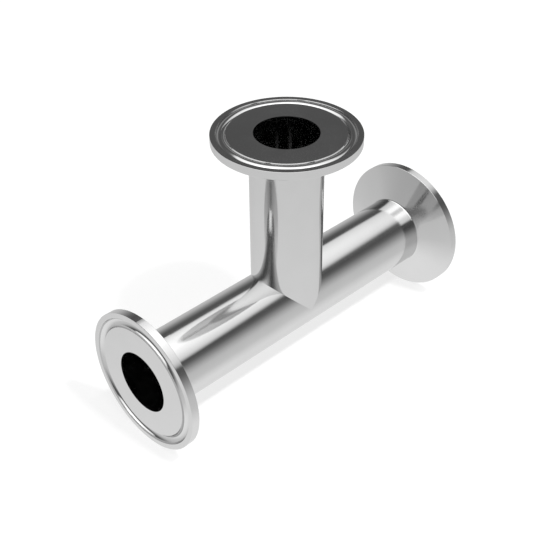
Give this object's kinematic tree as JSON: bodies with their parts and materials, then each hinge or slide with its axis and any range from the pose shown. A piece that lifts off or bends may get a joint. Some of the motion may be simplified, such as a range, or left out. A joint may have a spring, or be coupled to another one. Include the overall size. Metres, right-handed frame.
{
  "type": "sanitary clamp tee",
  "caption": "Equal tee of polished stainless tube, a straight run and a side branch mitred into it, with a grooved clamp ferrule welded to every end.",
  "frame": {"origin": "where the axis of the run and the axis of the branch cross", "axes": "+X along the run, from the left port to the right port; +Z along the branch, out of its port; the tee is symmetric about the planes X = 0 and Y = 0"},
  "size_m": [0.1334, 0.0506, 0.092],
  "materials": {
    "polished_tube": "polished",
    "turned_ferrule": "polished"
  },
  "bodies": {
    "root": {"run_tube": "polished_tube", "branch_tube": "polished_tube", "left_ferrule": "turned_ferrule", "right_ferrule": "turned_ferrule", "branch_ferrule": "turned_ferrule"}
  },
  "joints": []
}
